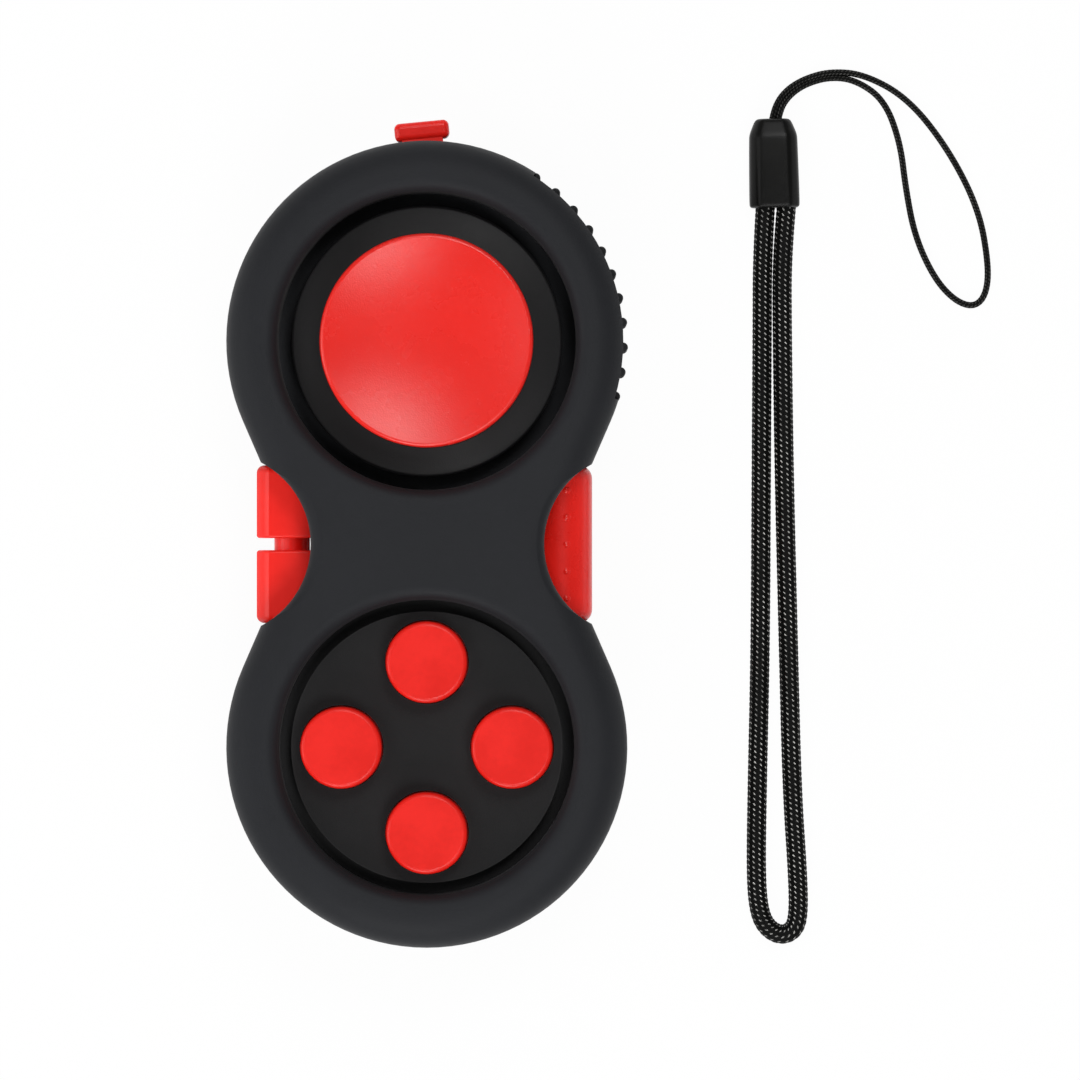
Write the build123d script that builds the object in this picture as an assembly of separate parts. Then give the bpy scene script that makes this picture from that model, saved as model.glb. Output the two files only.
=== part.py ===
from build123d import *
import math
import os

# A two-lobed fidget pad lying on its back, with its wrist strap laid beside it.
# +Z is the front face, +Y the end with the toggle, +X the side with the studded roller.
# The origin is on the flat back face, midway between the lobes. All sizes are in mm.

# Housing, two half shells that meet at mid height
LOBE_R = 24.1
LOBE_Y = 24.4
HEIGHT = 22.0
SPLIT_Z = HEIGHT / 2
EDGE_R = 4.2
WALL = 1.8
INNER_R = LOBE_R - WALL
SHOULDER = (19.8, 9.5)
WAIST_R = 8.0
LEFT_WINDOW = (-24.9, 11.0)
RIGHT_WINDOW = (25.1, 11.0)
WINDOW_EDGE_R = 1.5
SEAM_H = 0.3
SEAM_DEPTH = 0.25

# Screw columns of the housing, set on a circle in each lobe
COLUMN_CIRCLE_R = 20.75
UPPER_COLUMNS_DEG = (68, 112)
LOWER_COLUMNS_DEG = (235, 305)
COLUMN_R = 2.2
BOSS_R = 1.6
PILOT_R = 0.7
SCREW_HEAD_R = 1.5
SCREW_SEAT_Z = 3.6
SCREW_TIP_Z = 16.0

# Thumb stick in the upper well
CUP_R = 17.9
CUP_WALL = 1.3
CUP_FLOOR_Z = SPLIT_Z
CUP_FLOOR_T = 1.2
WELL_R = 18.2
WELL_EDGE_R = 1.5
PIVOT_Z = 9.5
SKIRT_R = 16.3
SKIRT_Z = 15.3
SKIRT_EDGE_Z = 16.0
SKIRT_TOP_Z = 17.7
CAP_R = 12.8
CAP_TOP_Z = 23.0
CAP_DISH = 1.3
STEM_R = 2.6
HUB_R = 2.2
RING_R = 7.6
RING_BORE = 5.6
RING_H = 2.4
FRAME_R = 12.5
FRAME_BORE = 8.2
FRAME_H = 3.1
FRAME_SCREW_R = 10.6
PIN_R = 0.6
PIN_CLEAR = 0.06

# Four buttons on a raised plate, with a deep ring round it
MOAT_R = 17.7
MOAT_Z = 14.5
PLATE_R = 16.3
PLATE_TOP_Z = 17.5
PLATE_T = 1.5
PLATE_WALL = 0.5
PLATE_FLANGE_R = 18.2
PLATE_FLANGE_T = 1.0
BUTTON_R = 4.9
BUTTON_CLEAR = 0.15
BUTTON_CIRCLE_R = 10.25
BUTTON_TOP_Z = 21.5
BUTTON_FLANGE_R = 5.4
BUTTON_FLANGE_Z = 14.6
BUTTON_DEG = {"top": 90, "left": 180, "right": 0, "bottom": 270}
BASE_R = 17.2
BASE_WALL = 0.9
BASE_Z = 9.0
BASE_T = 1.5
BASE_EAR_CIRCLE_R = 20.2
BASE_EAR_R = 1.9

# Toggle at the top end, turning about an axis along Z
TOGGLE_PIVOT = (-0.2, 45.0)
TOGGLE_REST_DEG = 5.5
TOGGLE_T = 4.0
TOGGLE_CLEAR = 0.2

# Side rollers, turning about axes along Y
ROLLER_Z = SPLIT_Z
ROLLER_HALF_LENGTH = 9.5
POCKET_HALF_LENGTH = 9.8
POCKET_END_T = 2.0
POCKET_BACK_X = 9.6
LEFT_ROLLER_X = -16.35
LEFT_ROLLER_HALF = 4.2
LEFT_DRUM_R = 5.0
LEFT_EDGE_R = 0.15
LEFT_POCKET_R = 5.4
GROOVE_W = 1.45
GROOVE_FLOOR_R = 2.15
GROOVE_MOUTH_R = 0.35
RIGHT_ROLLER_X = 16.05
RIGHT_ROLLER_R = 3.85
RIGHT_POCKET_R = 4.4
STUD_BALL_R = 0.7
STUD_PROUD = 0.14
STUD_ROWS = 3
STUD_PITCH = 3.26
STUD_ROW_DEG = 78.0
AXLE_R = 0.75
AXLE_CLEAR = 0.05

# Grip strip on the right-hand side of the upper lobe
GRIP_BASE_R = 23.0
GRIP_R = 23.6
GRIP_DEG = (-17.1, 57.2)
GRIP_Z = (4.5, 17.5)
BUMP_FIRST_DEG = 56.4
BUMP_STEP_DEG = 7.27
BUMP_COLUMNS = 11
BUMP_ROW_PITCH = 2.55
BUMP_R = 0.6

# Spinning dial and thumb dish on the back
DIAL_R = 12.0
DIAL_POCKET_R = 12.4
DIAL_Z = 0.3
DIAL_T = 2.5
DIAL_POCKET_D = 3.0
DIAL_WALL = 1.6
DIAL_BOSS_R = 2.4
DISH_R = 14.0
DISH_D = 2.6

# Strap bar in a pocket at the lower end of the back
STRAP_BAR_Y = -42.25
STRAP_BAR_Z = 1.8
STRAP_BAR_R = 0.8

# Wrist strap: a sleeve that joins a thick loop and a thin loop
SLEEVE_X = 42.05
SLEEVE_W = 5.8
SLEEVE_T = 4.4
SLEEVE_Y = (40.9, 51.3)
SLEEVE_TAPER_H = 2.0
STRAP_D = 2.2
CORD_D = 0.75
STRAP_ROUTE = [
    (40.8, 40.9, 1.6), (40.68, 26.0, 1.15), (40.5, 8.0, 1.12), (40.4, -12.0, 1.15),
    (40.05, -30.0, 1.12), (39.9, -40.5, 1.15), (40.15, -46.1, 1.12), (42.7, -47.7, 1.15),
    (45.1, -46.1, 1.12), (45.0, -40.3, 1.15), (44.3, -30.0, 1.12), (43.8, -12.0, 1.15),
    (43.2, 8.0, 1.12), (43.0, 26.0, 1.15), (43.35, 40.9, 1.6),
]
CORD_ROUTE = [
    (41.85, 51.3, 2.2), (42.0, 52.6, 2.05), (43.1, 54.95, 1.0), (45.4, 56.75, 0.45),
    (48.9, 57.75, 0.4), (53.2, 57.3, 0.4), (58.5, 54.3, 0.4), (63.4, 48.1, 0.4),
    (67.1, 40.8, 0.4), (68.3, 34.0, 0.4), (68.0, 30.4, 0.4), (66.5, 28.7, 0.4),
    (64.1, 29.6, 0.4), (61.6, 32.5, 0.4), (59.3, 37.5, 0.4), (58.2, 43.2, 0.4),
    (57.5, 49.0, 0.4), (55.6, 54.1, 0.4), (52.3, 56.4, 0.4), (49.0, 56.85, 0.4),
    (45.9, 55.95, 0.45), (43.95, 54.3, 0.95), (42.9, 52.35, 2.05), (42.75, 51.3, 2.2),
]
ARC_SHARE = 0.45


def rod(radius, z0, z1, x=0.0, y=0.0):
    """A cylinder along Z."""
    base = (Align.CENTER, Align.CENTER, Align.MIN)
    return Pos(x, y, z0) * Cylinder(radius, z1 - z0, align=base)


def rod_y(radius, y0, y1, x, z):
    """A cylinder along Y."""
    base = (Align.CENTER, Align.CENTER, Align.MIN)
    return Pos(x, y0, z) * Rot(-90, 0, 0) * Cylinder(radius, y1 - y0, align=base)


def rod_x(radius, x0, x1, y, z):
    """A cylinder along X."""
    base = (Align.CENTER, Align.CENTER, Align.MIN)
    return Pos(x0, y, z) * Rot(0, 90, 0) * Cylinder(radius, x1 - x0, align=base)


def block(x, y, z):
    """A box from three (low, high) pairs."""
    size = (x[1] - x[0], y[1] - y[0], z[1] - z[0])
    return Pos(x[0], y[0], z[0]) * Box(*size, align=(Align.MIN, Align.MIN, Align.MIN))


def turned(points, x=0.0, y=0.0):
    """A solid of revolution about Z from a closed outline of (radius, z) points."""
    outline = make_face(Plane.XZ * Polyline(*points, close=True))
    return Pos(x, y, 0) * revolve(outline, Axis.Z)


def on_circle(radius, degrees, y):
    """A point on a circle round the lobe centre (0, y)."""
    angle = math.radians(degrees)
    return radius * math.cos(angle), y + radius * math.sin(angle)


def turned_cutter(points, corners, radius, x, y):
    """A turned solid whose named corners are rounded: it leaves rounded edges where it cuts."""
    outline = make_face(Polyline(*points, close=True))
    for corner in corners:
        outline = fillet(outline.vertices().sort_by_distance(corner)[0], radius)
    return Pos(x, y, 0) * revolve(Plane.XZ * outline, Axis.Z)


def lobe(radius, z0, z1, edge, y):
    """A disc with rounded top and bottom edges, centred on one lobe."""
    outline = Rectangle(radius, z1 - z0, align=(Align.MIN, Align.MIN))
    outline = fillet(outline.vertices().group_by(Axis.X)[-1], edge)
    return Pos(0, y, z0) * revolve(Plane.XZ * outline, Axis.Z)


def pad_outline():
    """Two circles joined by sides that leave each along a tangent and round in at the waist."""
    reach = math.hypot(SHOULDER[0], LOBE_Y - SHOULDER[1])
    angle = math.atan2(SHOULDER[1] - LOBE_Y, SHOULDER[0]) + math.acos(LOBE_R / reach)
    tx = LOBE_R * math.cos(angle)
    ty = LOBE_Y + LOBE_R * math.sin(angle)
    notch = tx - ty * (tx - SHOULDER[0]) / (ty - SHOULDER[1])
    end = LOBE_Y + LOBE_R
    outline = ThreePointArc((tx, ty), (0, end), (-tx, ty))
    outline += Polyline((-tx, ty), (-notch, 0), (-tx, -ty))
    outline += ThreePointArc((-tx, -ty), (0, -end), (tx, -ty))
    outline += Polyline((tx, -ty), (notch, 0), (tx, ty))
    face = make_face(outline)
    return fillet([v for v in face.vertices() if abs(v.Y) < 1], WAIST_R)


def pad_form():
    """The whole pad with rounded edges, and the fine groove where the shells meet."""
    outline = pad_outline()
    solid = extrude(outline, HEIGHT)
    levels = solid.edges().group_by(Axis.Z)
    solid = fillet(levels[0] + levels[-1], EDGE_R)
    seam = extrude(outline, SEAM_H) - extrude(offset(outline, -SEAM_DEPTH), SEAM_H)
    return solid - Pos(0, 0, SPLIT_Z - SEAM_H / 2) * seam


def window_cutter(x, radius):
    """What opens the waist over a roller, flared so that the shell's edge comes out rounded."""
    low, high = (radius, 0), (radius, HEIGHT)
    wide = radius + 2 * WINDOW_EDGE_R
    outline = [(0, -1), (wide, -1), (wide, 0), low, high, (wide, HEIGHT), (wide, HEIGHT + 1)]
    outline.append((0, HEIGHT + 1))
    return turned_cutter(outline, [low, high], WINDOW_EDGE_R, x, 0)


def windows():
    return [window_cutter(*LEFT_WINDOW), window_cutter(*RIGHT_WINDOW)]


def grip_sector(r0, r1, z0, z1):
    """A ring segment about the upper lobe's axis, over the grip strip's angle."""
    outline = Pos(r0, z0) * Rectangle(r1 - r0, z1 - z0, align=(Align.MIN, Align.MIN))
    span = GRIP_DEG[1] - GRIP_DEG[0]
    segment = revolve(Plane.XZ * outline, Axis.Z, revolution_arc=span)
    return Pos(0, LOBE_Y, 0) * Rot(0, 0, GRIP_DEG[0]) * segment


def blank():
    """The housing's outer form, solid."""
    body = pad_form() - windows()
    body -= grip_sector(GRIP_R, LOBE_R + 2, -1, HEIGHT + 1)
    body -= grip_sector(GRIP_BASE_R, LOBE_R + 2, *GRIP_Z)
    return body


def cavity():
    """The hollow inside the housing."""
    inner_edge = EDGE_R - WALL
    hollow = lobe(INNER_R, WALL, HEIGHT - WALL, inner_edge, LOBE_Y)
    hollow += lobe(INNER_R, WALL, HEIGHT - WALL, inner_edge, -LOBE_Y)
    hollow += block((-POCKET_BACK_X, POCKET_BACK_X), (-9, 9), (WALL, HEIGHT - WALL))
    return hollow


def roller_pockets():
    """Solid round each roller, from which its pocket is cut."""
    ends = POCKET_HALF_LENGTH + POCKET_END_T
    right = block((POCKET_BACK_X, SHOULDER[0]), (-ends, ends), (0, HEIGHT))
    left = block((-SHOULDER[0], -POCKET_BACK_X), (-ends, ends), (0, HEIGHT))
    base_room = rod(BASE_R + 0.1, BASE_Z - 0.5, MOAT_Z, 0, -LOBE_Y)
    flange_low = MOAT_Z - PLATE_FLANGE_T
    base_room += rod(PLATE_FLANGE_R + 0.1, flange_low - 0.1, MOAT_Z, 0, -LOBE_Y)
    return right + left - base_room


def roller_cuts():
    """The roller pockets, the axle seats and the pocket for the leaf spring."""
    axle_half = POCKET_HALF_LENGTH + POCKET_END_T - 0.6
    half = POCKET_HALF_LENGTH
    cuts = rod_y(LEFT_POCKET_R, -half, half, LEFT_ROLLER_X, ROLLER_Z)
    cuts += rod_y(RIGHT_POCKET_R, -half, half, RIGHT_ROLLER_X, ROLLER_Z)
    cuts += rod_y(AXLE_R, -axle_half, axle_half, LEFT_ROLLER_X, ROLLER_Z)
    cuts += rod_y(AXLE_R, -axle_half, axle_half, RIGHT_ROLLER_X, ROLLER_Z)
    cuts += block((-12.5, -10.4), (-4.2, 4.2), (5.8, 16.2))
    return cuts


def toggle_slot():
    """The slot at the top end that the toggle passes through, half in each shell."""
    half = TOGGLE_T / 2 + TOGGLE_CLEAR
    x = TOGGLE_PIVOT[0]
    return block((x - 3.1, x + 3.1), (TOGGLE_PIVOT[1] + 0.5, 50), (SPLIT_Z - half, SPLIT_Z + half))


def columns(radius, z0, z1):
    """One upright cylinder at each housing screw."""
    places = [on_circle(COLUMN_CIRCLE_R, a, LOBE_Y) for a in UPPER_COLUMNS_DEG]
    places += [on_circle(COLUMN_CIRCLE_R, a, -LOBE_Y) for a in LOWER_COLUMNS_DEG]
    return [rod(radius, z0, z1, x, y) for x, y in places]


def base_ears(radius, z0, z1):
    """One upright cylinder at each screw of the button base."""
    places = [on_circle(BASE_EAR_CIRCLE_R, a, -LOBE_Y) for a in BUTTON_DEG.values()]
    return [rod(radius, z0, z1, x, y) for x, y in places]


def frame_holes(radius, z0, z1):
    """One upright cylinder at each screw of the gimbal frame."""
    places = [on_circle(FRAME_SCREW_R, a, LOBE_Y) for a in (45, 135, 225, 315)]
    return [rod(radius, z0, z1, x, y) for x, y in places]


def button_places():
    """The name and the centre of each button."""
    return {n: on_circle(BUTTON_CIRCLE_R, a, -LOBE_Y) for n, a in BUTTON_DEG.items()}


def front_shell(body, hollow):
    upper_half = block((-30, 30), (-60, 60), (SPLIT_Z, HEIGHT + 1))
    shell = body & upper_half
    shell -= hollow
    cup = rod(CUP_R + CUP_WALL, CUP_FLOOR_Z, HEIGHT - WALL + 0.1, 0, LOBE_Y)
    collar = rod(CUP_R + CUP_WALL, MOAT_Z, HEIGHT - WALL + 0.1, 0, -LOBE_Y)
    shell += [cup, collar, roller_pockets() & body & upper_half]
    shell += columns(BOSS_R, SPLIT_Z, HEIGHT - WALL + 0.1)
    shell += base_ears(BASE_EAR_R, BASE_Z + BASE_T, HEIGHT - WALL + 0.1)
    pin_x, pin_y = TOGGLE_PIVOT
    pin_seat_z = SPLIT_Z + TOGGLE_T / 2 + TOGGLE_CLEAR
    shell += rod(1.5, pin_seat_z, pin_seat_z + 3, pin_x, pin_y)
    shell += block((pin_x - 1, pin_x + 1), (pin_y, 47), (pin_seat_z, pin_seat_z + 3))

    crest = (WELL_R, HEIGHT)
    rim = [crest, (LOBE_R, HEIGHT), (LOBE_R, HEIGHT + 1), (0, HEIGHT + 1)]
    floor_z = CUP_FLOOR_Z + CUP_FLOOR_T
    stick_well = [(0, floor_z), (CUP_R, floor_z), (CUP_R, HEIGHT - 2), *rim]
    shell -= turned_cutter(stick_well, [crest], WELL_EDGE_R, 0, LOBE_Y)
    shell -= rod(FRAME_BORE + 0.4, CUP_FLOOR_Z - 1, CUP_FLOOR_Z + 2, 0, LOBE_Y)
    button_well = [(0, MOAT_Z - 1), (MOAT_R, MOAT_Z - 1), (MOAT_R, HEIGHT - 2), *rim]
    shell -= turned_cutter(button_well, [crest], WELL_EDGE_R, 0, -LOBE_Y)

    shell -= [*windows(), roller_cuts(), toggle_slot()]
    shell -= columns(PILOT_R, SPLIT_Z - 1, SCREW_TIP_Z + 0.5)
    shell -= base_ears(PILOT_R, BASE_Z, SCREW_TIP_Z)
    shell -= frame_holes(PILOT_R, CUP_FLOOR_Z - 1, CUP_FLOOR_Z + 2)
    shell -= rod(PIN_R, SPLIT_Z, pin_seat_z + 2.4, pin_x, pin_y)
    return shell


def rear_shell(body, hollow):
    lower_half = block((-30, 30), (-60, 60), (-1, SPLIT_Z))
    shell = body & lower_half
    shell -= hollow
    dial_top = DIAL_POCKET_D + DIAL_WALL
    shell += rod(DIAL_POCKET_R + DIAL_WALL, 0.5, dial_top, 0, LOBE_Y)
    shell += rod(DISH_R + DIAL_WALL, 0.5, DISH_D + DIAL_WALL, 0, -LOBE_Y)
    shell += [c & body for c in columns(COLUMN_R, 0, SPLIT_Z)]
    shell += roller_pockets() & body & lower_half
    shell += block((-5, 5), (-46, -39), (0.5, 5.8)) & body
    pin_x, pin_y = TOGGLE_PIVOT
    pin_seat_z = SPLIT_Z - TOGGLE_T / 2 - TOGGLE_CLEAR
    shell += rod(1.5, pin_seat_z - 3, pin_seat_z, pin_x, pin_y)
    shell += block((pin_x - 1, pin_x + 1), (pin_y, 47), (pin_seat_z - 3, pin_seat_z))
    shell += rod(1.2, WALL - 0.5, SPLIT_Z - 1.8, pin_x, 39.2)

    shell -= rod(DIAL_POCKET_R, -1, DIAL_POCKET_D, 0, LOBE_Y)
    shell -= rod(DIAL_BOSS_R + 0.1, 0, dial_top + 1, 0, LOBE_Y)
    dish_sphere = (DISH_R**2 + DISH_D**2) / (2 * DISH_D)
    shell -= Pos(0, -LOBE_Y, DISH_D - dish_sphere) * Sphere(dish_sphere)
    shell -= block((-3.5, 3.5), (-44.3, -40.2), (-1, 4.2))
    shell -= rod_x(STRAP_BAR_R, -4.6, 4.6, STRAP_BAR_Y, STRAP_BAR_Z)
    shell -= columns(SCREW_HEAD_R + 0.2, -1, SCREW_SEAT_Z)
    shell -= columns(PILOT_R + 0.3, -1, SPLIT_Z + 1)
    shell -= [*windows(), roller_cuts(), toggle_slot()]
    shell -= rod(PIN_R, pin_seat_z - 2.4, SPLIT_Z, pin_x, pin_y)
    return shell


def screw(head_r, head_h, shank_r, seat_z, tip_z, x, y):
    """A screw with its head below the seat, pointing up, with a cross recess."""
    solid = rod(head_r, seat_z - head_h, seat_z, x, y) + rod(shank_r, seat_z, tip_z, x, y)
    low = seat_z - head_h
    arm = head_r * 0.6
    slot = block((x - arm, x + arm), (y - 0.15, y + 0.15), (low - 1, low + head_h / 2))
    slot += block((x - 0.15, x + 0.15), (y - arm, y + arm), (low - 1, low + head_h / 2))
    return solid - slot


def housing_screws():
    places = [on_circle(COLUMN_CIRCLE_R, a, LOBE_Y) for a in UPPER_COLUMNS_DEG]
    places += [on_circle(COLUMN_CIRCLE_R, a, -LOBE_Y) for a in LOWER_COLUMNS_DEG]
    one = [screw(SCREW_HEAD_R, 1.2, PILOT_R, SCREW_SEAT_Z, SCREW_TIP_Z, x, y) for x, y in places]
    return Compound(children=one)


def grip_strip():
    strip = grip_sector(GRIP_BASE_R, GRIP_R, *GRIP_Z)
    bumps = []
    for column in range(BUMP_COLUMNS):
        x, y = on_circle(GRIP_R, BUMP_FIRST_DEG - column * BUMP_STEP_DEG, LOBE_Y)
        for row in range(-2, 3):
            bumps.append(Pos(x, y, SPLIT_Z + row * BUMP_ROW_PITCH) * Sphere(BUMP_R))
    return (strip + bumps) & grip_sector(GRIP_BASE_R, LOBE_R + 2, 0, HEIGHT)


def stick_cap():
    """The red dished cap: a turned disc whose top is part of a sphere."""
    lip = 0.5
    cap = rod(CAP_R, SKIRT_TOP_Z, CAP_TOP_Z, 0, LOBE_Y)
    cap = fillet(cap.edges().group_by(Axis.Z)[-1], lip)
    dish_r = CAP_R - lip
    sphere_r = (dish_r**2 + CAP_DISH**2) / (2 * CAP_DISH)
    cap -= Pos(0, LOBE_Y, CAP_TOP_Z - CAP_DISH + sphere_r) * Sphere(sphere_r)
    return cap


def stick_skirt():
    seat_r = CAP_R + 0.1
    shoulder = (SKIRT_R, SKIRT_EDGE_Z + 1)
    outline = [(0, SKIRT_Z), (11, SKIRT_Z), (SKIRT_R, SKIRT_EDGE_Z), shoulder]
    outline += [(seat_r, SKIRT_TOP_Z), (0, SKIRT_TOP_Z)]
    skirt = turned_cutter(outline, [shoulder], 0.4, 0, LOBE_Y)
    skirt -= rod(STEM_R, SKIRT_Z - 1, SKIRT_Z + 1.2, 0, LOBE_Y)
    skirt -= rod(PILOT_R + 0.2, SKIRT_Z, HEIGHT, 0, LOBE_Y)
    skirt -= rod(1.6, SKIRT_TOP_Z - 0.7, HEIGHT, 0, LOBE_Y)
    return skirt


def stick_stem():
    stem = rod_y(HUB_R, LOBE_Y - 4, LOBE_Y + 4, 0, PIVOT_Z)
    stem += rod(STEM_R, PIVOT_Z, SKIRT_Z + 1.2, 0, LOBE_Y)
    stem -= rod_y(PIN_R, LOBE_Y - 5, LOBE_Y + 5, 0, PIVOT_Z)
    stem -= rod(PILOT_R, PIVOT_Z + 2, HEIGHT, 0, LOBE_Y)
    return stem


def stick_screw():
    """Comes down through the skirt into the stem, under the cap."""
    seat_z = SKIRT_TOP_Z - 0.7
    solid = rod(1.5, seat_z, seat_z + 0.65, 0, LOBE_Y)
    return solid + rod(PILOT_R, PIVOT_Z + 2.2, seat_z, 0, LOBE_Y)


def stick_diaphragm():
    """A rubber disc on the well floor whose bore brings the stem back to the middle."""
    z0 = CUP_FLOOR_Z + CUP_FLOOR_T
    return rod(11.5, z0, z0 + 0.8, 0, LOBE_Y) - rod(STEM_R + 0.9, z0 - 1, z0 + 2, 0, LOBE_Y)


def gimbal_ring():
    low, high = PIVOT_Z - RING_H / 2, PIVOT_Z + RING_H / 2
    ring = rod(RING_R, low, high, 0, LOBE_Y) - rod(RING_BORE, low - 1, high + 1, 0, LOBE_Y)
    ring -= rod_x(PIN_R, -RING_R - 1, RING_R + 1, LOBE_Y, PIVOT_Z)
    ring -= rod_y(PIN_R + PIN_CLEAR, LOBE_Y - RING_R - 1, LOBE_Y + RING_R + 1, 0, PIVOT_Z)
    return ring


def gimbal_pins():
    """Two pins along X, fast in the ring and turning in the frame."""
    inner, outer = RING_BORE + 0.2, FRAME_BORE + 2
    right = rod_x(PIN_R, inner, outer, LOBE_Y, PIVOT_Z)
    left = rod_x(PIN_R, -outer, -inner, LOBE_Y, PIVOT_Z)
    return Compound(children=[left, right])


def stem_pin():
    """One pin along Y, fast in the stem and turning in the ring."""
    return rod_y(PIN_R, LOBE_Y - RING_R + 0.2, LOBE_Y + RING_R - 0.2, 0, PIVOT_Z)


def gimbal_frame():
    low = CUP_FLOOR_Z - FRAME_H
    frame = rod(FRAME_R, low, CUP_FLOOR_Z, 0, LOBE_Y)
    frame -= rod(FRAME_BORE, low - 1, CUP_FLOOR_Z + 1, 0, LOBE_Y)
    hole = PIN_R + PIN_CLEAR
    frame -= rod_x(hole, -FRAME_BORE - 2.2, FRAME_BORE + 2.2, LOBE_Y, PIVOT_Z)
    frame -= frame_holes(PILOT_R + 0.2, low - 1, CUP_FLOOR_Z + 1)
    return frame


def frame_screws():
    low = CUP_FLOOR_Z - FRAME_H
    tip = CUP_FLOOR_Z + CUP_FLOOR_T
    places = [on_circle(FRAME_SCREW_R, a, LOBE_Y) for a in (45, 135, 225, 315)]
    return Compound(children=[screw(1.3, 1.0, PILOT_R, low, tip, x, y) for x, y in places])


def button_plate():
    """A raised disc on a thin wall, with the flange that is held up against the shell."""
    low = MOAT_Z - PLATE_FLANGE_T
    plate = rod(PLATE_R, low, PLATE_TOP_Z, 0, -LOBE_Y)
    plate += rod(PLATE_FLANGE_R, low, MOAT_Z, 0, -LOBE_Y)
    plate -= rod(PLATE_R - PLATE_WALL, low - 1, PLATE_TOP_Z - PLATE_T, 0, -LOBE_Y)
    for x, y in button_places().values():
        plate -= rod(BUTTON_R + BUTTON_CLEAR, 0, HEIGHT, x, y)
    return plate


def button_base():
    """The cup under the buttons: its rim holds the plate up against the shell's collar."""
    top = BASE_Z + BASE_T
    base = rod(BASE_R, BASE_Z, MOAT_Z - PLATE_FLANGE_T, 0, -LOBE_Y)
    base -= rod(BASE_R - BASE_WALL, top, HEIGHT, 0, -LOBE_Y)
    for angle in BUTTON_DEG.values():
        arm = block((0, BASE_EAR_CIRCLE_R), (-BASE_EAR_R, BASE_EAR_R), (BASE_Z, top))
        arm -= rod(BASE_R - BASE_WALL, 0, HEIGHT)
        base += Pos(0, -LOBE_Y, 0) * Rot(0, 0, angle) * arm
    base += base_ears(BASE_EAR_R, BASE_Z, top)
    base -= base_ears(PILOT_R + 0.2, 0, HEIGHT)
    return base


def base_screws():
    places = [on_circle(BASE_EAR_CIRCLE_R, a, -LOBE_Y) for a in BUTTON_DEG.values()]
    tip = SCREW_TIP_Z - 0.5
    return Compound(children=[screw(1.6, 1.1, PILOT_R, BASE_Z, tip, x, y) for x, y in places])


def button(x, y):
    cap = rod(BUTTON_R, BUTTON_FLANGE_Z, BUTTON_TOP_Z, x, y)
    cap = fillet(cap.edges().group_by(Axis.Z)[-1], 0.6)
    cap += rod(BUTTON_FLANGE_R, BUTTON_FLANGE_Z, PLATE_TOP_Z - PLATE_T - 0.05, x, y)
    return cap


def button_dome(x, y):
    """A silicone dome that carries a button and brings it back up."""
    z0, z1 = BASE_Z + BASE_T, BUTTON_FLANGE_Z
    outline = [(3.7, z0), (4.7, z0), (4.7, z0 + 0.6), (2.6, z1), (0, z1), (0, z1 - 1.2)]
    outline += [(1.9, z1 - 1.2), (3.7, z0 + 0.5)]
    return turned(outline, x, y)


def toggle_lever():
    """The lever about its own pivot, pointing along +Y, then turned to its rest."""
    half = TOGGLE_T / 2
    lever = rod(1.2, SPLIT_Z - half, SPLIT_Z + half)
    lever += block((-1.1, 1.1), (0, 2.6), (SPLIT_Z - half, SPLIT_Z + half))
    lever += block((-2.45, 2.45), (2.0, 4.4), (SPLIT_Z - half, SPLIT_Z + half))
    head = block((-3.3, 3.3), (3.8, 6.0), (SPLIT_Z - half - 0.3, SPLIT_Z + half + 0.3))
    lever += fillet(head.edges(), 0.7)
    lever += block((-0.6, 0.6), (-4.0, 0), (SPLIT_Z - half, SPLIT_Z - 0.4))
    lever -= rod(PIN_R + PIN_CLEAR, 0, HEIGHT)
    return Pos(*TOGGLE_PIVOT, 0) * Rot(0, 0, TOGGLE_REST_DEG) * lever


def toggle_pin():
    reach = TOGGLE_T / 2 + TOGGLE_CLEAR + 2.4
    return rod(PIN_R, SPLIT_Z - reach, SPLIT_Z + reach, *TOGGLE_PIVOT)


def toggle_spring():
    """A hairpin of spring steel on a post, one leg each side of the lever's tail."""
    x = TOGGLE_PIVOT[0]
    z = (SPLIT_Z - 1.8, SPLIT_Z - 0.6)
    spring = block((x - 1.45, x - 1.15), (39.0, 42.6), z)
    spring += block((x + 1.15, x + 1.45), (39.0, 42.6), z)
    spring += block((x - 1.45, x + 1.45), (38.7, 39.0), z)
    return spring


def left_roller():
    """A drum with four flats, with a groove round its middle."""
    side = 2 * LEFT_ROLLER_HALF
    outline = Rectangle(side, side) & Circle(LEFT_DRUM_R)
    outline = fillet(outline.vertices(), LEFT_EDGE_R)
    solid = extrude(Plane.XZ * outline, ROLLER_HALF_LENGTH, both=True)
    ends = solid.edges().group_by(Axis.Y)
    solid = fillet(ends[0] + ends[-1], 0.9)
    ring = rod_y(9, -GROOVE_W / 2, GROOVE_W / 2, 0, 0)
    ring -= rod_y(GROOVE_FLOOR_R, -GROOVE_W, GROOVE_W, 0, 0)
    solid -= ring
    mouth = [e for e in solid.edges() if abs(abs(e.center().Y) - GROOVE_W / 2) < 0.01]
    mouth = [e for e in mouth if math.hypot(e.center().X, e.center().Z) > GROOVE_FLOOR_R + 1]
    solid = fillet(mouth, GROOVE_MOUTH_R)
    solid -= rod_y(AXLE_R + AXLE_CLEAR, -12, 12, 0, 0)
    return Pos(LEFT_ROLLER_X, 0, ROLLER_Z) * solid


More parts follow.
